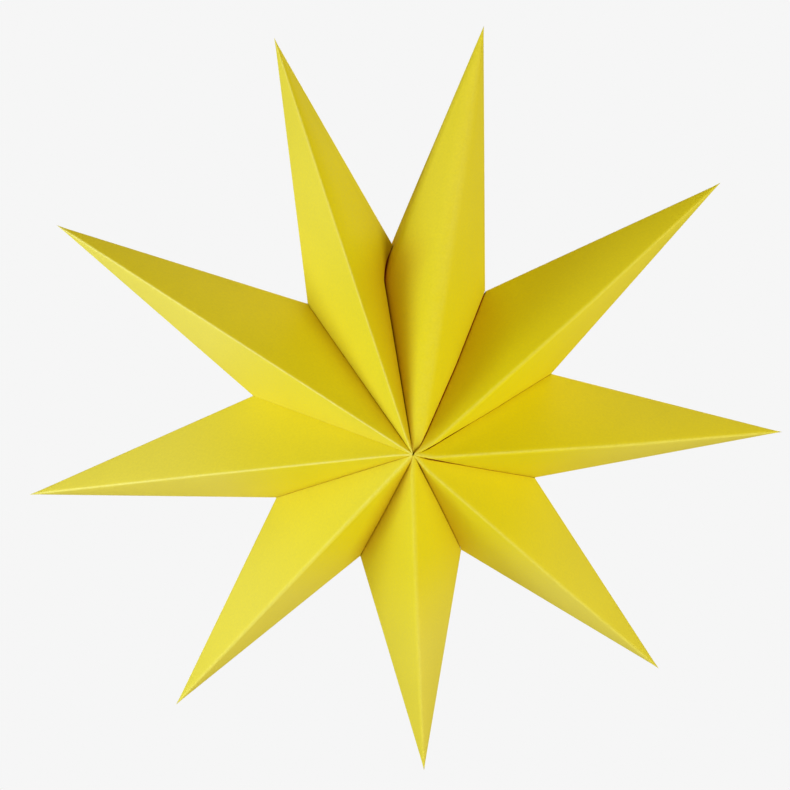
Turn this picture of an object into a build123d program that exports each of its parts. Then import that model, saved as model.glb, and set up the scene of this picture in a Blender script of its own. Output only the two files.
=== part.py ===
from build123d import *
from math import cos, hypot, radians, sin, sqrt
import os

# Folded card star, face to the front (-Y), hub axis along Y, closing seam at the top (+Z).
# Points are numbered clockwise from the closing seam. Millimetres and degrees.

# Star
point_count = 9
tip_radius = 150.0  # hub axis to a tip
valley_radius = 59.0  # hub axis to the corner between two glued points
hub_depth = 54.0  # mid plane to the hub, front and rear alike
pinhole_radius = 0.5  # opening left where the corners of the points meet at the hub

# Closing seam
seam_pitch = 29.5  # angle between the two points beside the seam
seam_corner_radius = 68.0  # hub axis to the corner at the top of the seam
seam_lean = 4.9  # lean of the seam's straight run towards the last point
seam_hook = 18.0  # length at the top of the seam that bends back to the corner
seam_bulge = 7.0  # roundness of the first point's facets beside the seam

# How the glued star was pulled open: small turns of single ridges and valleys, in degrees,
# and valley corners that sit further out or in
point_lean = {2: 0.5, 3: -1.0, 4: 0.5, 5: 0.5, 6: 0.5}
valley_lean = {3: 1.0, 4: 1.5, 5: 0.5}
valley_stretch = {2: 1.0, 3: -1.5}

# Card
card_thickness = 0.35
flap_width = 12.0  # glue flap along each valley, folded inwards
flap_notch = 2.0  # gap between front and rear flap at the valley corner
lap_width = 8.0  # glued lap inside the rear ridge
glue_film = 0.1  # between the flaps of neighbouring points

# Closing tape, between the flaps of the first and the last point
tape_thickness = 0.5
tape_margin = 3.0  # bare flap along both edges of the tape
tape_hub_gap = 10.0  # hub axis to the lower end of the tape

# Derived values
pitch = (360 - seam_pitch) / (point_count - 1)
plan_reach = 2 * tip_radius  # well past the tips
slab_depth = 2 * hub_depth  # well past the hub


def polar(radius, angle):
    return (radius * sin(radians(angle)), radius * cos(radians(angle)))


def ridge_angle(point):
    return seam_pitch / 2 + (point - 1) * pitch + point_lean.get(point, 0)


# Valley n lies after point n. The closing seam is both the first and the last of them.
def is_seam(valley):
    return valley in (0, point_count)


def valley_angle(valley):
    if is_seam(valley):
        return 360 * valley / point_count
    return seam_pitch / 2 + (valley - 0.5) * pitch + valley_lean.get(valley, 0)


def corner_radius(valley):
    return seam_corner_radius if is_seam(valley) else valley_radius + valley_stretch.get(valley, 0)


def valley_gap(valley):
    return tape_thickness if is_seam(valley) else glue_film


# Seen from the front, a glued valley is straight, and the seam leans and then hooks back
def seam_bend():
    return polar(seam_corner_radius - seam_hook, -seam_lean)


def valley_path(valley):
    if not is_seam(valley):
        return Curve() + Line((0, 0), polar(plan_reach, valley_angle(valley)))
    corner = polar(seam_corner_radius, 0)
    run = Line((0, 0), seam_bend())
    hook = TangentArc(seam_bend(), corner, tangent=run % 1)
    return run + hook + Line(corner, polar(plan_reach, 0))


def slab(sketch):
    return extrude(Plane.XZ * sketch, amount=slab_depth, both=True)


def valley_slab(valley, width):
    return slab(trace(valley_path(valley), width))


# Room of one point between its two valleys
def point_room(point):
    outer_edge = Line(
        polar(plan_reach, valley_angle(point - 1)),
        polar(plan_reach, valley_angle(point)),
    )
    room = slab(make_face(valley_path(point - 1) + outer_edge + valley_path(point)))
    for valley in (point - 1, point):
        room -= valley_slab(valley, valley_gap(valley))
    return room


# Half width of a point where its facet would meet the hub axis, from its ridge to that side
def hub_width(point, valley):
    side, rise = polar(corner_radius(valley), abs(valley_angle(valley) - ridge_angle(point)))
    return side * tip_radius / (tip_radius - rise)


# Share of a point's size that is lost when its facet moves in by one millimetre
def facet_loss(width):
    return sqrt(1 / width**2 + 1 / hub_depth**2 + 1 / tip_radius**2)


def facet_side(start, end, bulge):
    return SagittaArc(start, end, -bulge) if bulge else Line(start, end)


# A point as a solid four-sided spike over the hub axis, its facets moved in by the inset
def point_spike(point, inset):
    left_width = hub_width(point, point - 1)
    right_width = hub_width(point, point)
    left_bulge = seam_bulge if is_seam(point - 1) else 0
    left_loss = inset * facet_loss(left_width)
    right_loss = inset * facet_loss(right_width)
    ridge_side = (left_loss - right_loss) / (1 / left_width + 1 / right_width)
    scale = 1 - right_loss - ridge_side / right_width
    front = (ridge_side, -hub_depth * scale)
    rear = (ridge_side, hub_depth * scale)
    left = (-left_width * (1 - left_loss), 0)
    right = (right_width * (1 - right_loss), 0)
    outline = Line(front, right) + Line(right, rear)
    outline += facet_side(rear, left, left_bulge) + facet_side(left, front, left_bulge)
    spike = loft([make_face(outline), Vertex(ridge_side, 0, tip_radius * scale)], ruled=True)
    return Rot(0, ridge_angle(point), 0) * spike


# How far a strip of the given width, along a valley and square to it, reaches in under the facet
def strip_inset(point, valley, width):
    turn = radians(abs(valley_angle(valley) - ridge_angle(point)))
    facet_width = hub_width(point, valley)
    along = (cos(turn) / facet_width - sin(turn) / tip_radius) / facet_loss(facet_width)
    return width * sqrt(1 - along**2)


def glue_flaps(point, valley, outer, room):
    sheet = valley_slab(valley, valley_gap(valley) + 2 * card_thickness) & room
    notch = Box(2 * plan_reach, flap_notch, 2 * plan_reach)
    return sheet & outer - point_spike(point, strip_inset(point, valley, flap_width)) - notch


# Second layer of card inside the left rear facet, along the rear ridge
def ridge_lap(point, inner):
    width = hub_width(point, point - 1)
    across = lap_width * hypot(hub_depth, tip_radius) / (hub_depth * tip_radius * facet_loss(width))
    strip = Box(across, slab_depth, plan_reach, align=(Align.MAX, Align.MIN, Align.MIN))
    layer = inner - point_spike(point, 2 * card_thickness)
    return layer & Rot(0, ridge_angle(point), 0) * strip


def point_card(point):
    room = point_room(point)
    outer = point_spike(point, 0)
    inner = point_spike(point, card_thickness)
    card = (outer - inner) & room
    card += ridge_lap(point, inner) & room
    for valley in (point - 1, point):
        card += glue_flaps(point, valley, outer, room)
    nip_side, nip_rise = polar(pinhole_radius, ridge_angle(point))
    nip = Plane(origin=(nip_side, 0, nip_rise), z_dir=(nip_side, 0, nip_rise))
    return split(card, bisect_by=nip, keep=Keep.TOP)


# Tape on the straight run of the seam, between the margins of the last point's flaps
def closing_tapes():
    run = Line(polar(tape_hub_gap, -seam_lean), seam_bend())
    band = point_spike(point_count, strip_inset(point_count, point_count, tape_margin))
    band -= point_spike(point_count, strip_inset(point_count, point_count, flap_width - tape_margin))
    tapes = slab(trace(run, tape_thickness)) & band
    return {
        "closing_tape_front": split(tapes, bisect_by=Plane.XZ, keep=Keep.TOP),
        "closing_tape_rear": split(tapes, bisect_by=Plane.XZ, keep=Keep.BOTTOM),
    }


pieces = {f"point_{point}": point_card(point) for point in range(1, point_count + 1)}
pieces.update(closing_tapes())
os.makedirs("parts", exist_ok=True)
for name, piece in pieces.items():
    export_step(piece, f"parts/{name}.step")
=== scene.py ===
from math import cos, pi, radians, sin, tan
from random import Random

import bpy
from mathutils import Matrix, Vector


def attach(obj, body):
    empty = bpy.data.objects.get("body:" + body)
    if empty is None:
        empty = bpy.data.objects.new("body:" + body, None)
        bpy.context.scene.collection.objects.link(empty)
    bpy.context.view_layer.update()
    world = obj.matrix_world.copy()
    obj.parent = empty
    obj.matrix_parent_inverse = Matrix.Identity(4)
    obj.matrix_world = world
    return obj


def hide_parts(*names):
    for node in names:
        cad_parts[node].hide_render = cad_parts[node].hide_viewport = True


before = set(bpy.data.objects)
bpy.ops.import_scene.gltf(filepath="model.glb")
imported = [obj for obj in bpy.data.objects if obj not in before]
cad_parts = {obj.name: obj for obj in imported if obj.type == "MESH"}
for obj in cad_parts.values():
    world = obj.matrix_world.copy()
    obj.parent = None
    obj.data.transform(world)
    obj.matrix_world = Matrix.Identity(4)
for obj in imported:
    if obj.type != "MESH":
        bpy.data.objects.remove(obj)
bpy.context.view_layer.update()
print("frame loaded:", len(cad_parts), "solids")

mm = 0.001
speck = 0.001 * mm  # keeps divisors away from zero


# Node desk: a small way to write node trees as formulas

class Field:  # an output socket that can be added, multiplied and compared
    def __init__(self, desk, socket):
        self.desk = desk
        self.socket = socket

    def __add__(self, other):
        return self.desk.math("ADD", self, other)

    def __sub__(self, other):
        return self.desk.math("SUBTRACT", self, other)

    def __mul__(self, other):
        return self.desk.math("MULTIPLY", self, other)

    def __truediv__(self, other):
        return self.desk.math("DIVIDE", self, other)

    def __pow__(self, other):
        return self.desk.math("POWER", self, other)

    def __radd__(self, other):
        return self.desk.math("ADD", other, self)

    def __rsub__(self, other):
        return self.desk.math("SUBTRACT", other, self)

    def __rmul__(self, other):
        return self.desk.math("MULTIPLY", other, self)

    def __rtruediv__(self, other):
        return self.desk.math("DIVIDE", other, self)

    def __neg__(self):
        return self.desk.math("MULTIPLY", self, -1)

    def __lt__(self, other):
        return self.desk.math("LESS_THAN", self, other)

    def __gt__(self, other):
        return self.desk.math("GREATER_THAN", self, other)


class Desk:  # places nodes in one tree and links them
    def __init__(self, tree):
        self.tree = tree

    def put(self, kind, settings=None, inputs=None, out=0):
        node = self.tree.nodes.new(kind)
        for name, value in (settings or {}).items():
            setattr(node, name, value)
        for key, value in (inputs or {}).items():
            for item in value if isinstance(value, list) else [value]:
                if isinstance(item, Field):
                    self.tree.links.new(item.socket, node.inputs[key])
                else:
                    node.inputs[key].default_value = item
        return Field(self, node.outputs[out]) if node.outputs else node

    def also(self, field, name):  # another output of the same node
        return Field(self, field.socket.node.outputs[name])

    def math(self, operation, *values):
        return self.put("ShaderNodeMath", {"operation": operation}, dict(enumerate(values)))

    def least(self, a, b):
        return self.math("MINIMUM", a, b)

    def most(self, a, b):
        return self.math("MAXIMUM", a, b)

    def clamp(self, value):
        return self.least(self.most(value, 0), 1)

    def size(self, value):
        return self.math("ABSOLUTE", value)

    def root(self, value):
        return self.math("SQRT", value)

    def hump(self, share):  # from 0 up to 1 halfway and back
        return share * (1 - share) * 4

    def span(self, value, low, high, toLow, toHigh):  # clamped linear step
        ends = {0: value, 1: low, 2: high, 3: toLow, 4: toHigh}
        return self.put("ShaderNodeMapRange", {"clamp": True}, ends)

    def vector(self, x, y, z):
        return self.put("ShaderNodeCombineXYZ", None, {0: x, 1: y, 2: z})

    def split(self, vector):
        node = self.put("ShaderNodeSeparateXYZ", None, {0: vector})
        return node, self.also(node, "Y"), self.also(node, "Z")

    def grid(self, columns, rows):  # a flat sheet, and each vertex's shares across and along it
        sheet = self.put(
            "GeometryNodeMeshGrid",
            None,
            {"Size X": 1.0, "Size Y": 1.0, "Vertices X": columns + 1, "Vertices Y": rows + 1},
        )
        px, py, _ = self.split(self.put("GeometryNodeInputPosition"))
        return sheet, px + 0.5, py + 0.5

    def move(self, sheet, place):
        return self.put("GeometryNodeSetPosition", None, {"Geometry": sheet, "Position": place})

    def join(self, *parts):
        return self.put("GeometryNodeJoinGeometry", None, {"Geometry": list(parts)})

    def weld(self, sheet, distance):
        inputs = {"Geometry": sheet, "Distance": distance}
        return self.put("GeometryNodeMergeByDistance", None, inputs)

    def flip(self, sheet):
        return self.put("GeometryNodeFlipFaces", None, {"Mesh": sheet})

    def store(self, sheet, kind, name, value):
        return self.put(
            "GeometryNodeStoreNamedAttribute",
            {"data_type": kind, "domain": "POINT"},
            {"Geometry": sheet, "Name": name, "Value": value},
        )


# The star's own sizes, in metres and degrees, close to those of the solids
star = {
    "pointCount": 9,
    "tipRadius": 150.9 * mm,  # a blunt tip takes the last of it away
    "tipStretch": {5: 0.7 * mm, 6: 0.5 * mm, 7: -1.2 * mm, 9: 0.6 * mm},
    "valleyRadius": 59.2 * mm,
    "hubDepth": 54 * mm,
    "pinhole": (0.12 * mm, 0.45 * mm),  # the corners at the hub end unevenly
    "seamPitch": 29.5,
    "seamCorner": 68 * mm,
    "seamLean": 4.9,
    "seamHook": 14 * mm,
    "pointLean": {2: 0.5, 3: -1.0, 4: 0.5, 5: 0.5, 6: 0.5},
    "valleyLean": {3: 1.0, 4: 1.5, 5: 0.5},
    "valleyStretch": {2: 1 * mm, 3: -1.5 * mm, 6: 0.6 * mm, 7: 0.7 * mm},
}

# How one sheet of card behaves where it is folded
card = {
    "thickness": 0.35 * mm,
    "flapWidth": 12 * mm,
    "flapNotch": 2 * mm,
    "lapWidth": 8 * mm,
    "sideFold": 0.5 * mm,
    "foldShare": 0.45,  # most of a facet's height that a fold takes up
    "bow": 0.35 * mm,  # facets swell a little between their folds
    "bowPeak": 0.7,  # below 1, they swell more towards the valley
    "ripple": 0.25 * mm,
    "rippleSize": 60 * mm,
    "rippleSeed": 3.0,  # step from one point to the next
}

# How two cards meet in a valley
joint = {
    "nip": (3 * mm, 6.5 * mm),  # the gap opens in this reach from the hub
    "nipGap": 0.1,  # share of the gap that is left at the hub
    "nipGlueShade": 0.2,  # share of the glue and painted shade that shows there
    "hubEnd": 0.4,  # share of the valley at which the gap near the hub ends
    "leastGap": 0.02 * mm,
    "pinch": 0.4,  # share of the gap that each flap closes below the lips
    "leastBend": 0.1 * mm,
    "bendShare": (0.25, 0.35),  # most of the way from the hub, and of the depth, for a bend
    "leastFlap": 1.2,  # times the bend
    "lipDepth": 1.5 * mm,
    "lipStart": 0.3,  # share of that depth at which the flaps start to draw together
    "slotDepth": 0.3 * mm,  # from the lips down to where the flaps lie flat
    "tapeEnd": 0.2,  # share of the hook along which the room for the tape closes
    "gluedGap": 0.5 * mm,  # lips this far apart get the joint's painted shade in full
    "glueReach": (0.1, 0.8),  # of the bend
    "hubEase": 3.5 * mm,  # a fold that strays comes back into line in this run
    "cornerEase": 28 * mm,
    "ridgeEase": (0.6, 2.2),  # how fast a ridge strays after the hub, and comes back at the tip
    "leastHollow": 0.01 * mm,
    "hollowShare": (0.9, 0.6),  # most of the way to the ridge, and of the depth, for a hollow
    "hollowEnd": (0.9, 1.1),  # hollows and their painted shade end softly around the corner, as shares of its radius
    "sheenReach": (0.25, 0.65),  # painted sheen goes from the hub's amount to the tip's, as shares of the tip's radius
}

# Each sheet of card has its own ridge: half width of its fold, how far its fibres are broken, with
# painted highlight on top, how much painted shade dims its crest, and how far it strays. Sheen:
# painted sheen on the left and right facet, each at hub and tip.
sheets = {
    1: {"fold": 2.4 * mm, "wear": 0.12, "fade": ((0.05, 0.3), (0.05, 0.4))},
    2: {
        "fold": 0.5 * mm, "wear": 0.15, "rub": 0.35, "drift": 1.4 * mm,
        "fade": ((0, 0.15), (0.03, 0.6)),
    },
    3: {
        "fold": 0.6 * mm, "wear": 0.35, "rub": 0.35, "drift": 1.4 * mm,
        "fade": ((0, 0.3), (0.03, 1.0)),
    },
    4: {
        "fold": 0.8 * mm, "wear": 0.3, "rub": 0.45, "drift": 0.8 * mm,
        "fade": ((0.07, 0.55), (0.07, 1.0)),
    },
    5: {
        "fold": 0.9 * mm, "wear": 0.12, "rub": 0.35, "drift": 0.6 * mm,
        "fade": ((0.07, 1.05), (0.17, 0.55)),
    },
    6: {
        "fold": 0.8 * mm, "wear": 0.35, "rub": 0.25, "drift": 0.2 * mm,
        "fade": ((0.05, 1.3), (0.24, 0.6)),
    },
    7: {"fold": 0.6 * mm, "wear": 0.9, "drift": 0.4 * mm, "fade": ((0.15, 1.5), (0.19, 0.7))},
    8: {"fold": 0.5 * mm, "wear": 1.0, "fade": ((0.36, 1.15), (0.08, 0.3))},
    9: {"fold": 0.5 * mm, "wear": 0.6, "drift": -0.4 * mm, "fade": ((0.15, 0.5), (0, 0))},
}

# Lips of the joints, in millimetres. Gap: along the valley, and near the hub. Drift: how far the
# valley strays clockwise. Glue shade: how strongly glue and painted shade show between the lips.
# Pairs: the card before the joint and the card after it, clockwise, with the run of the bend from
# facet to flap, and the hollow's breadth, slope and painted shade.
plainLips = {"hookGap": 0, "setback": 0, "drift": 0, "slope": (0.12, 0.12)}
seamLips = {
    "gap": 0.05,
    "hubGap": 0.12,
    "hookGap": 0.75,  # the cards part a little where the seam bends
    "setback": 0.33,  # room for the tape
    "fold": (0.35, 1.2),
    "dish": (16, 14),
    "slope": (0.2, 0.5),
    "shade": (0.6, 1.0),
    "glue": 0.85,
}
valleyLips = {
    1: {
        "gap": 0.45, "hubGap": 0.4, "drift": 1.0, "glue": 1,
        "fold": (0.4, 0.4), "dish": (0.5, 12), "shade": (0.2, 0.6),
    },
    2: {
        "gap": 0.06, "hubGap": 0.45, "drift": 0.55, "glue": 1,
        "fold": (0.35, 0.35), "dish": (1, 1), "shade": (0.2, 0.1),
    },
    3: {
        "gap": 0.07, "hubGap": 0.45, "drift": 0.3, "glue": 1,
        "fold": (0.35, 0.35), "dish": (1.5, 0.5), "shade": (0.3, 0.1),
    },
    4: {
        "gap": 0.04, "hubGap": 0.25, "drift": -0.3, "glue": 0.6,
        "fold": (0.9, 0.4), "dish": (9, 0.5), "shade": (0.6, 0.2),
    },
    5: {
        "gap": 0.02, "hubGap": 0.06, "drift": -0.4, "glue": 0.2,
        "fold": (1, 1), "dish": (4, 6), "shade": (0.6, 0.6),
    },
    6: {
        "gap": 0.06, "hubGap": 0.1, "glue": 0.6,
        "fold": (0.3, 0.3), "dish": (0.5, 2), "shade": (0, 0.3),
    },
    7: {
        "gap": 0.02, "hubGap": 0.02, "glue": 0,
        "fold": (0.16, 0.16), "dish": (0.1, 0.1), "shade": (0, 0),
    },
    8: {
        "gap": 0.06, "hubGap": 0.16, "glue": 0.7,
        "fold": (0.6, 0.3), "dish": (5, 0.5), "shade": (0.5, 0.05),
    },
}

# Grid of one facet: along the valley, and from the flap's edge over the fold up to the tip
facetGrid = {"columns": 30, "flapRows": 5, "foldRows": 8, "facetRows": 26}

# What the folded point's node tree is given: for each of its two valleys, and for the whole point
sideInputs = [
    "Angle", "Corner", "Lean", "Height Side", "Drift", "Gap", "Hub Gap", "Hook Gap", "Setback",
    "Fold", "Dish", "Slope", "Shade", "Glue", "Hub Fade", "Tip Fade",
]
sizeInputs = [
    "Tip Radius", "Hub Depth", "Pinhole", "Ridge Angle", "Ridge Width", "Ridge Drift", "Seam Hook",
    "Card Thickness", "Flap Width", "Flap Notch", "Lap Width",
    "Ridge Fold", "Side Fold", "Bow", "Ripple", "Wear", "Rub", "Seed",
]
sizeInputs += [f"{hand} {name}" for hand in ("Left", "Right") for name in sideInputs]


def pitch():
    return (360 - star["seamPitch"]) / (star["pointCount"] - 1)


def isSeam(valley):
    return valley in (0, star["pointCount"])


def ridgeAngle(point):
    return star["seamPitch"] / 2 + (point - 1) * pitch() + star["pointLean"].get(point, 0)


def valleyAngle(valley):
    if isSeam(valley):
        return 360 * valley / star["pointCount"]
    return star["seamPitch"] / 2 + (valley - 0.5) * pitch() + star["valleyLean"].get(valley, 0)


def cornerRadius(valley):
    if isSeam(valley):
        return star["seamCorner"]
    return star["valleyRadius"] + star["valleyStretch"].get(valley, 0)


# Half width of a point where its facet would meet the hub axis
def hubWidth(tip, corner, sine, cosine):
    return corner * sine * tip / (tip - corner * cosine)


# Share of a point's size that is lost when its facet moves in by one metre
def facetLoss(desk, width, depth, tip):
    return desk.root(1 / (width * width) + 1 / (depth * depth) + 1 / (tip * tip))


# One front facet with its glue flap, on the side (+1 right, -1 left) of the ridge
def cardFacet(desk, given, side):
    hand = "Right" if side > 0 else "Left"
    own = {name: given[f"{hand} {name}"] for name in sideInputs}
    tip, depth, hook = given["Tip Radius"], given["Hub Depth"], given["Seam Hook"]
    corner = own["Corner"]
    sine, cosine = desk.math("SINE", own["Angle"]), desk.math("COSINE", own["Angle"])
    width = hubWidth(tip, corner, sine, cosine)

    columns = facetGrid["columns"]
    foldStart = facetGrid["flapRows"]
    foldEnd = foldStart + facetGrid["foldRows"]
    rows = foldEnd + facetGrid["facetRows"]
    grid, across, upward = desk.grid(columns, rows)
    row = upward * rows
    onValley = across > 0.5 / columns
    beforeCorner = across < 1 - 0.5 / columns
    along = (1 - desk.math("COSINE", across * pi)) * 0.5

    # Valley edge: straight from the pinhole to the corner, or the leaning, hooked seam
    start = given["Pinhole"] / cosine
    reach = start + (corner - start) * along
    nipStart, nipEnd = joint["nip"]
    nearHub = desk.span(reach, nipEnd, corner * joint["hubEnd"], 1, 0)
    gap = own["Gap"] + (own["Hub Gap"] - own["Gap"]) * nearHub
    gap = desk.most(gap * desk.span(reach, nipStart, nipEnd, joint["nipGap"], 1), joint["leastGap"])
    parted = own["Hook Gap"] * desk.hump(desk.span(reach, corner - hook, corner, 0, 1))
    gap = gap + parted
    # glue and painted shade between the lips, strongest where they part
    glue = desk.most(own["Glue"], desk.least(parted / joint["gluedGap"], 1))
    glue = glue * desk.span(reach, nipStart, nipEnd, joint["nipGlueShade"], 1)

    def driftAt(run):
        bent = desk.most(run - corner + hook, 0) / hook
        ends = desk.least(run / joint["hubEase"], (corner - run) / joint["cornerEase"])
        return own["Lean"] * (run - corner * bent * bent) + own["Drift"] * desk.clamp(ends)

    def edgeAt(sideways):
        x = (reach * sine + sideways * cosine) * onValley
        z = (reach * cosine - sideways * sine) * onValley + given["Pinhole"] * (1 - onValley)
        return x, z

    drift = driftAt(reach) * beforeCorner
    edgeX, edgeZ = edgeAt(drift - gap * 0.5)
    levelX, levelZ = edgeAt(drift * own["Height Side"] - gap * 0.5)
    edgeY = -depth * desk.most(1 - levelZ / tip - levelX / width, 0) * beforeCorner

    # Ruling from the edge to the tip, with a bend into the flap at its foot. The bend tightens
    # towards both ends of the valley.
    runShare, depthShare = joint["bendShare"]
    bend = desk.least(own["Fold"], desk.least((reach - start) * runShare, -edgeY * depthShare))
    bend = desk.most(bend, joint["leastBend"] * beforeCorner + speck)
    riseZ = tip - edgeZ
    length = desk.root(edgeX * edgeX + edgeY * edgeY + riseZ * riseZ)
    slant = desk.root(corner * corner + depth * depth)
    flap = desk.least(given["Flap Width"] * slant / corner, -edgeY - given["Flap Notch"] * 0.5)
    flap = desk.most(flap, bend * joint["leastFlap"])
    path = desk.span(row, 0, foldStart, -flap, -bend)
    path = path + desk.span(row, foldStart, foldEnd, 0, bend * 2)
    climb = desk.span(row, foldEnd, rows, 0, 1)
    path = path + (length - bend) * climb
    inBend = desk.most(desk.least(path, bend), -bend)
    up = (inBend + bend) * (inBend + bend) / (bend * 4) + desk.most(path - bend, 0)
    down = (bend - inBend) * (bend - inBend) / (bend * 4) + desk.most(-path - bend, 0)
    rise = up / length

    # Below the lips the flaps draw together, or leave room for the tape up to the hook
    lip = desk.least(bend, joint["lipDepth"])
    lipStart = lip * joint["lipStart"]
    inSlot = desk.span(down, lipStart, lip + joint["slotDepth"], 0, 1)
    hookStart = corner - hook
    taped = desk.span(down, lipStart, lip, 0, 1)
    taped = taped * desk.span(reach, hookStart, hookStart + hook * joint["tapeEnd"], 1, 0)
    pinch = (desk.least(own["Gap"], gap) + parted) * joint["pinch"]
    back = own["Setback"] * taped - pinch * inSlot
    x = edgeX * (1 - rise) - back * cosine
    y = edgeY * (1 - rise) + down
    z = edgeZ + riseZ * rise + back * sine

    # Slight swell and ripple of the card between its folds
    noise = desk.put(
        "ShaderNodeTexNoise",
        {"noise_dimensions": "4D"},
        {
            "Vector": desk.vector(x * side, y, z),
            "W": given["Seed"] + side,
            "Scale": 1 / card["rippleSize"],
            "Detail": 1.0,
        },
    )
    middle = desk.hump(along) * desk.math("SINE", climb ** card["bowPeak"] * pi)
    swell = middle * (given["Bow"] + (noise - 0.5) * 2 * given["Ripple"])
    loss = facetLoss(desk, width, depth, tip)
    x = x + swell / (width * loss)
    y = y - swell / (depth * loss)

    # Facets sink softly towards the valley, and painted shade darkens them there
    ridgeShare, hollowDepth = joint["hollowShare"]
    hollowStart, hollowEnd = joint["hollowEnd"]
    run = x * sine + z * cosine
    inset = driftAt(desk.least(run, corner)) - gap * 0.5 - x * cosine + z * sine
    shadeReach = desk.least(own["Dish"], z * sine * ridgeShare)
    shadeReach = desk.most(shadeReach, joint["leastHollow"])
    below = desk.span(run, corner * hollowStart, corner * hollowEnd, 1, 0)
    shade = desk.clamp(1 - inset / shadeReach) * below
    dish = desk.most(desk.least(shadeReach, -y * hollowDepth), joint["leastHollow"])
    sunk = desk.clamp(1 - inset / dish) * below
    y = y + sunk * sunk * dish * own["Slope"] * 0.5

    # Rounded ridge and side folds, narrower towards the tip
    left = 1 - z / tip
    ridge = desk.least(given["Ridge Fold"] / given["Ridge Width"], left * card["foldShare"])
    ridge = desk.most(ridge * depth, speck)
    drop = desk.most(y + left * depth, 0)
    short = desk.most(ridge - drop, 0)
    y = y + short * short / (ridge * 2)
    edge = desk.most(desk.least(given["Side Fold"], left * depth * card["foldShare"]), speck)
    blunt = desk.most(edge - desk.size(y), 0)
    onFacet = row > foldEnd - 0.5
    x = desk.most(x - blunt * blunt / (edge * 2) * width / depth * onFacet, 0)

    # A ridge out of line comes back to it at the hub and at the tip
    hubEase, tipEase = joint["ridgeEase"]
    ends = desk.least(climb * tip / joint["hubEase"] * hubEase, left * tipEase)
    stray = given["Ridge Drift"] * (1 - along) * desk.least(ends, 1)

    # No flap at the pinhole's cut or at the corner notch
    spare = desk.most(across < 1 / columns, -edgeY < given["Flap Notch"] * 0.5 + bend * 2)
    sheet = desk.put(
        "GeometryNodeDeleteGeometry",
        {"domain": "FACE"},
        {"Geometry": grid, "Selection": (row < (foldStart + foldEnd) / 2) * spare},
    )
    # painted sheen, set for each facet at the hub and at the tip
    sheenStart, sheenEnd = joint["sheenReach"]
    outer = desk.span(z, tip * sheenStart, tip * sheenEnd, 0, 1)
    sheenRise = (own["Tip Fade"] - own["Hub Fade"]) * outer * outer * (3 - outer * 2)
    glueStart, glueEnd = joint["glueReach"]
    marks = {
        "ridgeGap": drop / ridge,
        "sideGap": desk.size(y),
        "valleyShade": shade * own["Shade"],
        "slot": desk.span(down, bend * glueStart, bend * glueEnd, 0, 1) * glue,
        "wear": given["Wear"],
        "rub": given["Rub"],
        "fade": own["Hub Fade"] + sheenRise,
    }
    # marks go on before the sheet is moved, because all formulas start from the flat grid
    for name, value in marks.items():
        sheet = desk.store(sheet, "FLOAT", name, value)
    sheet = desk.move(sheet, desk.vector(x * side + stray, y, z))
    return desk.flip(sheet) if side < 0 else sheet


# Second layer of card glued inside the rear ridge
lap = {
    "columns": 4,
    "rows": 24,
    "ends": (0.1, 0.86),  # shares of the tip's radius
    "sink": 1.3,  # card thicknesses below the facet
    "roomShare": (0.7, 0.8),  # most of the way to the side edge and to the valley
    "valleyMargin": 3,  # card thicknesses
}


def ridgeLap(desk, given):
    tip, depth, thick = given["Tip Radius"], given["Hub Depth"], given["Card Thickness"]
    angle, corner = given["Left Angle"], given["Left Corner"]
    sine, cosine = desk.math("SINE", angle), desk.math("COSINE", angle)
    width = hubWidth(tip, corner, sine, cosine)
    loss = facetLoss(desk, width, depth, tip)
    ridgeRun = desk.root(depth * depth + tip * tip)
    reach = given["Lap Width"] * ridgeRun / (depth * tip * loss)

    grid, across, upward = desk.grid(lap["columns"], lap["rows"])
    lower, upper = lap["ends"]
    sideShare, valleyShare = lap["roomShare"]
    z = tip * (lower + upward * (upper - lower))
    left = 1 - z / tip
    ease = desk.least(given["Ridge Fold"], left * given["Ridge Width"] * card["foldShare"])
    ease = ease * width / given["Ridge Width"] + thick
    valleyRoom = z * sine / cosine * valleyShare - thick * lap["valleyMargin"]
    room = desk.least(width * left * sideShare, valleyRoom)
    x = ease + desk.most(desk.least(reach, room) - ease, thick) * across
    y = depth * (left - x / width) - thick * lap["sink"] * depth * loss

    # the lap strays with its ridge
    turn = x / (tip - z)
    along = tip * turn / ((sine + turn * cosine) * corner)
    ends = desk.least(left * joint["ridgeEase"][1], 1)
    stray = given["Ridge Drift"] * desk.most(1 - along, 0) * ends
    return desk.move(grid, desk.vector(stray - x, y, z))


# The wall thins out where the folds run together: at the ridge, at the tip and at the hub
wall = {
    "ridgeShare": 0.4,  # of the ridge's fold
    "sideShare": 0.5,  # of the way from the ridge
    "tipShare": 0.09,  # of the way from the tip
    "hubShare": 0.12,  # of the way from the hub axis
    "least": 0.02 * mm,
    "foldWeld": 0.01 * mm,  # facets that meet closer than this are one sheet
    "edgeWeld": 0.002 * mm,  # and so are the two faces of the card at its edges
    "planeRows": 0.9,  # rows at the tip that are shaded plane, because they share one corner
}


# Gives an open sheet its thickness on the inside, with closed edges
def thicken(desk, sheet, thick):
    sheet = desk.store(sheet, "FLOAT_VECTOR", "sheetNormal", desk.put("GeometryNodeInputNormal"))
    grown = desk.put(
        "GeometryNodeExtrudeMesh",
        {"mode": "FACES"},
        {"Mesh": sheet, "Offset Scale": 0.0, "Individual": False},
    )
    saved = desk.put(
        "GeometryNodeInputNamedAttribute",
        {"data_type": "FLOAT_VECTOR"},
        {"Name": "sheetNormal"},
    )
    inward = desk.put("ShaderNodeVectorMath", {"operation": "SCALE"}, {0: saved, "Scale": -thick})
    inside = desk.put(
        "GeometryNodeSetPosition",
        None,
        {"Geometry": grown, "Selection": desk.also(grown, "Top"), "Offset": inward},
    )
    both = desk.weld(desk.join(sheet, desk.flip(inside)), wall["edgeWeld"])
    return desk.put("GeometryNodeRemoveAttribute", None, {"Geometry": both, "Name": "sheetNormal"})


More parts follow.
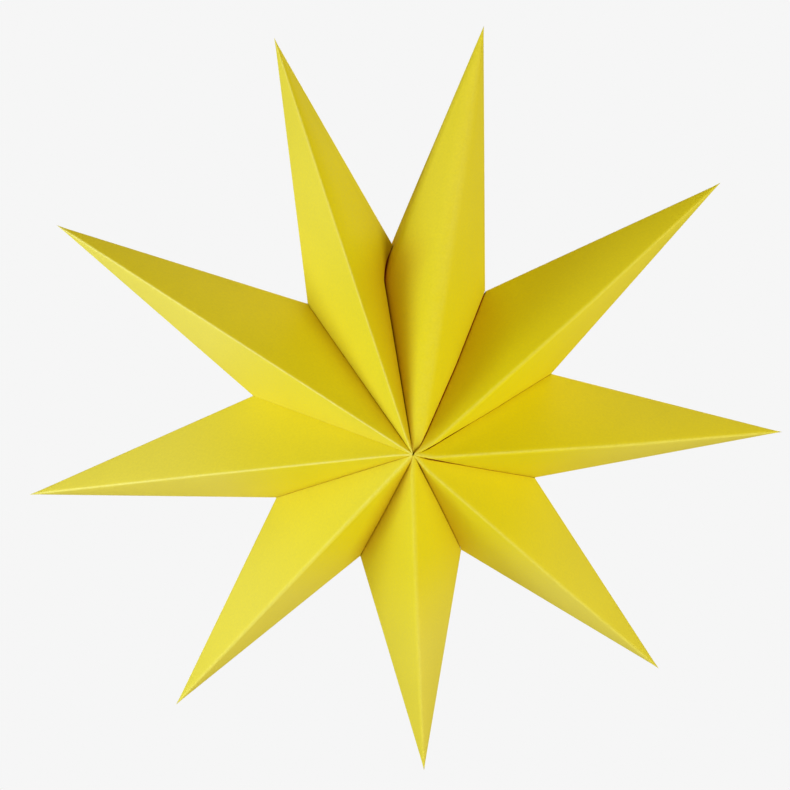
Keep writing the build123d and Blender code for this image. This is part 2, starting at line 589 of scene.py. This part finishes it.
def foldedPointTree():
    tree = bpy.data.node_groups.new("foldedPoint", "GeometryNodeTree")
    for name in sizeInputs:
        tree.interface.new_socket(name=name, in_out="INPUT", socket_type="NodeSocketFloat")
    tree.interface.new_socket(name="Finish", in_out="INPUT", socket_type="NodeSocketMaterial")
    tree.interface.new_socket(name="Card", in_out="OUTPUT", socket_type="NodeSocketGeometry")
    desk = Desk(tree)
    entry = tree.nodes.new("NodeGroupInput")
    given = {name: Field(desk, entry.outputs[name]) for name in sizeInputs + ["Finish"]}
    tip, thick = given["Tip Radius"], given["Card Thickness"]

    front = desk.join(cardFacet(desk, given, 1), cardFacet(desk, given, -1))
    rear = desk.put("GeometryNodeTransform", None, {"Geometry": front, "Scale": (1, -1, 1)})
    sheet = desk.weld(desk.join(front, desk.flip(rear)), wall["foldWeld"])

    px, _, pz = desk.split(desk.put("GeometryNodeInputPosition"))
    left = 1 - pz / tip
    ridge = desk.least(given["Ridge Fold"], left * given["Ridge Width"] * card["foldShare"])
    ridgeRoom = ridge * wall["ridgeShare"] + desk.size(px) * wall["sideShare"]
    endRoom = desk.least((tip - pz) * wall["tipShare"], pz * wall["hubShare"])
    room = desk.most(desk.least(ridgeRoom, endRoom), wall["least"])
    body = thicken(desk, sheet, desk.least(thick, room))
    both = desk.join(body, thicken(desk, ridgeLap(desk, given), thick))

    beforeTip = pz < tip * (1 - wall["planeRows"] / facetGrid["facetRows"])
    smooth = desk.put(
        "GeometryNodeSetShadeSmooth",
        None,
        {"Geometry": both, "Shade Smooth": beforeTip},
    )
    turned = desk.put(
        "GeometryNodeTransform",
        None,
        {"Geometry": smooth, "Rotation": desk.vector(0, given["Ridge Angle"], 0)},
    )
    real = desk.put("GeometryNodeRealizeInstances", None, {"Geometry": turned})
    done = desk.put(
        "GeometryNodeSetMaterial",
        None,
        {"Geometry": real, "Material": given["Finish"]},
    )
    desk.put("NodeGroupOutput", None, {"Card": done})
    return tree


# What one card does at a joint: side 0 is the card before it, side 1 the card after it
def lipSizes(valley, side):
    lips = {**plainLips, **(seamLips if isSeam(valley) else valleyLips[valley])}
    return {
        "Gap": lips["gap"] * mm,
        "Hub Gap": lips["hubGap"] * mm,
        "Hook Gap": lips["hookGap"] * mm,
        "Setback": lips["setback"] * mm,
        "Drift": lips["drift"] * (mm if side == 0 else -mm),
        "Fold": lips["fold"][side] * mm,
        "Dish": lips["dish"][side] * mm,
        "Slope": lips["slope"][side],
        "Shade": lips["shade"][side],
        "Glue": lips["glue"],
    }


def pointSizes(point):
    tip = star["tipRadius"] + star["tipStretch"].get(point, 0)
    sheet = sheets[point]
    values = {
        "Tip Radius": tip,
        "Hub Depth": star["hubDepth"],
        "Pinhole": Random(point).uniform(*star["pinhole"]),
        "Seam Hook": star["seamHook"],
        "Ridge Angle": radians(ridgeAngle(point)),
        "Card Thickness": card["thickness"],
        "Flap Width": card["flapWidth"],
        "Flap Notch": card["flapNotch"],
        "Lap Width": card["lapWidth"],
        "Ridge Fold": sheet["fold"],
        "Ridge Drift": sheet.get("drift", 0.0),
        "Side Fold": card["sideFold"],
        "Bow": card["bow"],
        "Ripple": card["ripple"],
        "Wear": sheet["wear"],
        "Rub": sheet.get("rub", 0.0),
        "Seed": card["rippleSeed"] * point,
    }
    widths = []
    for hand, valley, side in (("Left", point - 1, 1), ("Right", point, 0)):
        turn = radians(abs(valleyAngle(valley) - ridgeAngle(point)))
        corner = cornerRadius(valley)
        widths.append(hubWidth(tip, corner, sin(turn), cos(turn)))
        sizes = {"Angle": turn, "Corner": corner, "Lean": 0.0, **lipSizes(valley, side)}
        # a card that reaches over the joint takes its neighbour's height there, which gives way
        sizes["Height Side"] = -1.0 if sizes["Drift"] > 0 else 1.0
        sizes["Hub Fade"], sizes["Tip Fade"] = sheet["fade"][1 - side]
        values.update({f"{hand} {name}": float(value) for name, value in sizes.items()})
    # the first point's card reaches over the seam, and the last point's card gives way to it
    lean = tan(radians(star["seamLean"]))
    if isSeam(point - 1):
        values["Left Lean"] = lean
        values["Left Height Side"] = -1.0
    if isSeam(point):
        values["Right Lean"] = -lean
    values["Ridge Width"] = min(widths)
    return values


def buildPoint(tree, point, finish):
    holder = bpy.data.objects.new("holder", bpy.data.meshes.new("holder"))
    bpy.context.scene.collection.objects.link(holder)
    fold = holder.modifiers.new("fold", "NODES")
    fold.node_group = tree
    items = tree.interface.items_tree
    sockets = {item.name: item.identifier for item in items if item.in_out == "INPUT"}
    for name, value in pointSizes(point).items():
        fold[sockets[name]] = value
    fold[sockets["Finish"]] = finish
    graph = bpy.context.evaluated_depsgraph_get()
    mesh = bpy.data.meshes.new_from_object(holder.evaluated_get(graph))
    bpy.data.objects.remove(holder)
    mesh.name = f"pointCard{point}"
    piece = bpy.data.objects.new(f"pointCard{point}", mesh)
    bpy.context.scene.collection.objects.link(piece)
    return piece


# Finishes

class Paint(Desk):  # a desk for one material, with the patterns that the finishes share
    bumpStrength = 0.6

    def __init__(self, name, specular):
        self.material = bpy.data.materials.new(name)
        self.material.use_nodes = True
        super().__init__(self.material.node_tree)
        self.shader = self.tree.nodes["Principled BSDF"]
        self.shader.inputs["Specular IOR Level"].default_value = specular
        self.place = self.put("ShaderNodeTexCoord", out="Object")

    def mark(self, name):
        return self.put("ShaderNodeAttribute", {"attribute_name": name}, out="Fac")

    def noise(self, size, detail):
        return self.put(
            "ShaderNodeTexNoise",
            None,
            {"Vector": self.place, "Scale": 1 / size, "Detail": detail},
        )

    def blend(self, share, colour, other):
        return self.put(
            "ShaderNodeMix",
            {"data_type": "RGBA"},
            {0: share, 6: colour, 7: other},
            out=2,
        )

    def brighten(self, colour, factor):
        inputs = {0: colour, "Scale": factor}
        return self.put("ShaderNodeVectorMath", {"operation": "SCALE"}, inputs)

    def finish(self, colour, rough, height, distance):
        bump = self.put(
            "ShaderNodeBump",
            None,
            {"Height": height, "Distance": distance, "Strength": self.bumpStrength},
        )
        for name, field in (("Base Color", colour), ("Roughness", rough), ("Normal", bump)):
            self.tree.links.new(field.socket, self.shader.inputs[name])
        return self.material


yellow = {
    "colour": (0.86, 0.735, 0.006, 1),
    # painted sheen, paler on the facets that face the light and towards the tips
    "paintedSheen": (0.86, 0.75, 0.12, 1),
    "valleyShadeColour": (0.58, 0.27, 0.002, 1),  # painted shade in the valleys
    "glued": (0.5, 0.1, 0.008, 1),  # glue soaked into the flaps, and painted shade deep in the joints
    "crestShadeColour": (0.66, 0.58, 0.06, 1),  # painted shade that dims the crests
    "pale": (0.83, 0.76, 0.22, 1),  # broken fibres on ridges and edges, and painted highlight on the ridges
    "valleyShade": 0.8,
    "crestReach": (0.15, 0.9),  # of the ridge's fold
    "sideReach": 0.5 * mm,
    "sideWear": 0.5,
    "fraySize": 2.4 * mm,
    "frayRange": (0.3, 0.6),
    "frayWear": (0.45, 1),
    "hubShadeReach": (20 * mm, 110 * mm),  # painted shade near the hub axis, measured from it
    "hubShade": (0.965, 1.015),
    "cloudSize": 45 * mm,
    "cloud": 0.04,
    "toothSize": 0.8 * mm,
    "tooth": 0.07,
    "toothHeight": 0.03 * mm,
    "toothRange": (0.3, 0.7),
    "roughness": (0.55, 0.72),
    "specular": 0.25,
}


def cardFinish():
    paint = Paint("yellowCard", yellow["specular"])
    tooth = paint.noise(yellow["toothSize"], 2.0)
    cloud = paint.noise(yellow["cloudSize"], 2.0)
    fray = paint.noise(yellow["fraySize"], 3.0)
    light = 1 + (tooth - 0.5) * 2 * yellow["tooth"] + (cloud - 0.5) * 2 * yellow["cloud"]
    px, _, pz = paint.split(paint.place)
    # painted shade near the hub, and a little more brightness towards the tips
    radius = paint.root(px * px + pz * pz)
    light = light * paint.span(radius, *yellow["hubShadeReach"], *yellow["hubShade"])
    # the card's colour, with painted sheen over it
    body = paint.blend(paint.mark("fade"), yellow["colour"], yellow["paintedSheen"])
    # painted shade deepens towards the valleys
    valley = paint.mark("valleyShade") * yellow["valleyShade"]
    body = paint.blend(valley, body, yellow["valleyShadeColour"])
    # glue and painted shade deep in the joints
    body = paint.blend(paint.mark("slot"), body, yellow["glued"])
    crest = paint.span(paint.mark("ridgeGap"), *yellow["crestReach"], 1, 0)
    # painted shade dims the crest of each ridge
    body = paint.blend(crest * paint.mark("rub"), body, yellow["crestShadeColour"])
    side = paint.span(paint.mark("sideGap"), 0, yellow["sideReach"], yellow["sideWear"], 0)
    # pale worn fibres on ridges and side edges, with painted highlight on the ridges
    wornAndLit = paint.most(crest * paint.mark("wear"), side) * (1 - valley)
    wornAndLit = wornAndLit * paint.span(fray, *yellow["frayRange"], *yellow["frayWear"])
    body = paint.blend(wornAndLit, body, yellow["pale"])
    rough = paint.span(tooth, *yellow["toothRange"], *yellow["roughness"])
    return paint.finish(paint.brighten(body, light), rough, tooth, yellow["toothHeight"])


amber = {
    "colour": (0.46, 0.27, 0.06, 1),
    "clear": (0.3, 0.15, 0.03, 1),  # between the threads
    "threadSize": 1.2 * mm,
    "threadRange": (0.4, 0.6),
    "threadHeight": 0.04 * mm,
    "glossRange": (0.35, 0.65),
    "roughness": (0.35, 0.6),
    "specular": 0.4,
}


def tapeFinish():
    paint = Paint("tissueTape", amber["specular"])
    threads = paint.noise(amber["threadSize"], 3.0)
    thread = paint.span(threads, *amber["threadRange"], 0, 1)
    colour = paint.blend(thread, amber["clear"], amber["colour"])
    rough = paint.span(threads, *amber["glossRange"], *amber["roughness"])
    return paint.finish(colour, rough, threads, amber["threadHeight"])


finish = cardFinish()
tree = foldedPointTree()
for point in range(1, star["pointCount"] + 1):
    piece = buildPoint(tree, point, finish)
    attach(piece, "root")
    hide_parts(f"point_{point}")
    print("point", point, len(piece.data.polygons), "faces")

tape = tapeFinish()
for name in ("closing_tape_front", "closing_tape_rear"):
    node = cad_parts[name]
    node.data.materials.clear()
    node.data.materials.append(tape)
print("tapes finished")

# Camera where the photograph was taken
view = {
    "azimuth": -1.939,
    "elevation": 12.573,
    "roll": -3.782,
    "distance": 483.45 * mm,
    "aim": (-3.117 * mm, 0, 9.866 * mm),
    "focalPixels": 1239.7,
    "imagePixels": 790,
    "sensor": 36,
    "clip": 10 * mm,
}


def placeCamera():
    az, el, roll = (radians(view[name]) for name in ("azimuth", "elevation", "roll"))
    back = Vector((sin(az) * cos(el), -cos(az) * cos(el), sin(el)))
    flat = Vector((cos(az), sin(az), 0))
    lift = back.cross(flat)
    right = flat * cos(roll) + lift * sin(roll)
    up = lift * cos(roll) - flat * sin(roll)
    camera = bpy.data.objects.new("camera", bpy.data.cameras.new("camera"))
    camera.data.sensor_width = view["sensor"]
    camera.data.lens = view["focalPixels"] * view["sensor"] / view["imagePixels"]
    camera.data.clip_start = view["clip"]
    place = Matrix.Translation(Vector(view["aim"]) + back * view["distance"])
    camera.matrix_world = place @ Matrix((right, up, back)).transposed().to_4x4()
    bpy.context.scene.collection.objects.link(camera)
    bpy.context.scene.camera = camera


placeCamera()

# Cool light grazes the facets from the left, warmer light comes from the right and from all around.
# The rear lamp is there for views from behind.
cool = (0.72, 0.84, 1)
lamps = {
    "leftSide": {"from": (-0.65, -0.3, 0), "size": 0.3, "power": 1.82, "colour": cool},
    "leftEdge": {"from": (-0.65, -0.12, 0.25), "size": 0.3, "power": 0.80, "colour": cool},
    "leftNear": {"from": (-0.35, -0.3, 0), "size": 0.3, "power": 0.44, "colour": cool},
    "frontRight": {"from": (0.35, -0.65, 0), "size": 0.3, "power": 1.89, "colour": (1, 0.98, 0.8)},
    "rightNear": {"from": (0.35, -0.3, 0), "size": 0.3, "power": 0.32, "colour": (0.86, 1, 0.8)},
    "frontLow": {"from": (0, -0.3, -0.25), "size": 0.3, "power": 0.27, "colour": (0.97, 1, 0.8)},
    "rear": {"from": (0.4, 1.1, 0.5), "size": 0.9, "power": 9, "colour": (1, 1, 1)},
}


def placeLamp(name, lamp):
    light = bpy.data.lights.new(name, "AREA")
    light.shape = "DISK"
    light.size = lamp["size"]
    light.energy = lamp["power"]
    light.color = lamp["colour"]
    holder = bpy.data.objects.new(name, light)
    place = Vector(lamp["from"])
    holder.location = place
    holder.rotation_euler = (-place).to_track_quat("-Z", "Y").to_euler()
    bpy.context.scene.collection.objects.link(holder)


for name, lamp in lamps.items():
    placeLamp(name, lamp)

# Pale background and floor for the camera, and the light that they give back
stage = {
    "pale": (0.9214, 0.9214, 0.9214, 1),
    "ambient": (0.343, 0.28, 0.05, 1),
    "matte": (0.8, 0.8, 0.8, 1),
    "floorDrop": 1.5,
    "floorSize": 12.0,
}


def buildWorld():
    world = bpy.data.worlds.new("studio")
    bpy.context.scene.world = world
    world.use_nodes = True
    world.node_tree.nodes.clear()
    desk = Desk(world.node_tree)
    seen = desk.put("ShaderNodeLightPath", out="Is Camera Ray")
    shade = desk.put(
        "ShaderNodeMix",
        {"data_type": "RGBA"},
        {0: seen, 6: stage["ambient"], 7: stage["pale"]},
        out=2,
    )
    glow = desk.put("ShaderNodeBackground", None, {"Color": shade})
    desk.put("ShaderNodeOutputWorld", None, {"Surface": glow})


def buildFloor():
    half, low = stage["floorSize"] / 2, -stage["floorDrop"]
    corners = [(-half, -half, low), (half, -half, low), (half, half, low), (-half, half, low)]
    mesh = bpy.data.meshes.new("floor")
    mesh.from_pydata(corners, [], [(0, 1, 2, 3)])
    floor = bpy.data.objects.new("floor", mesh)
    bpy.context.scene.collection.objects.link(floor)
    paint = bpy.data.materials.new("paleFloor")
    paint.use_nodes = True
    paint.node_tree.nodes.clear()
    desk = Desk(paint.node_tree)
    seen = desk.put("ShaderNodeLightPath", out="Is Camera Ray")
    matte = desk.put("ShaderNodeBsdfDiffuse", None, {"Color": stage["matte"]})
    glow = desk.put("ShaderNodeEmission", None, {"Color": stage["pale"]})
    mixed = desk.put("ShaderNodeMixShader", None, {0: seen, 1: matte, 2: glow})
    desk.put("ShaderNodeOutputMaterial", None, {"Surface": mixed})
    floor.data.materials.append(paint)


buildWorld()
buildFloor()
bpy.context.scene.view_settings.view_transform = "Standard"
print("stage and camera placed")
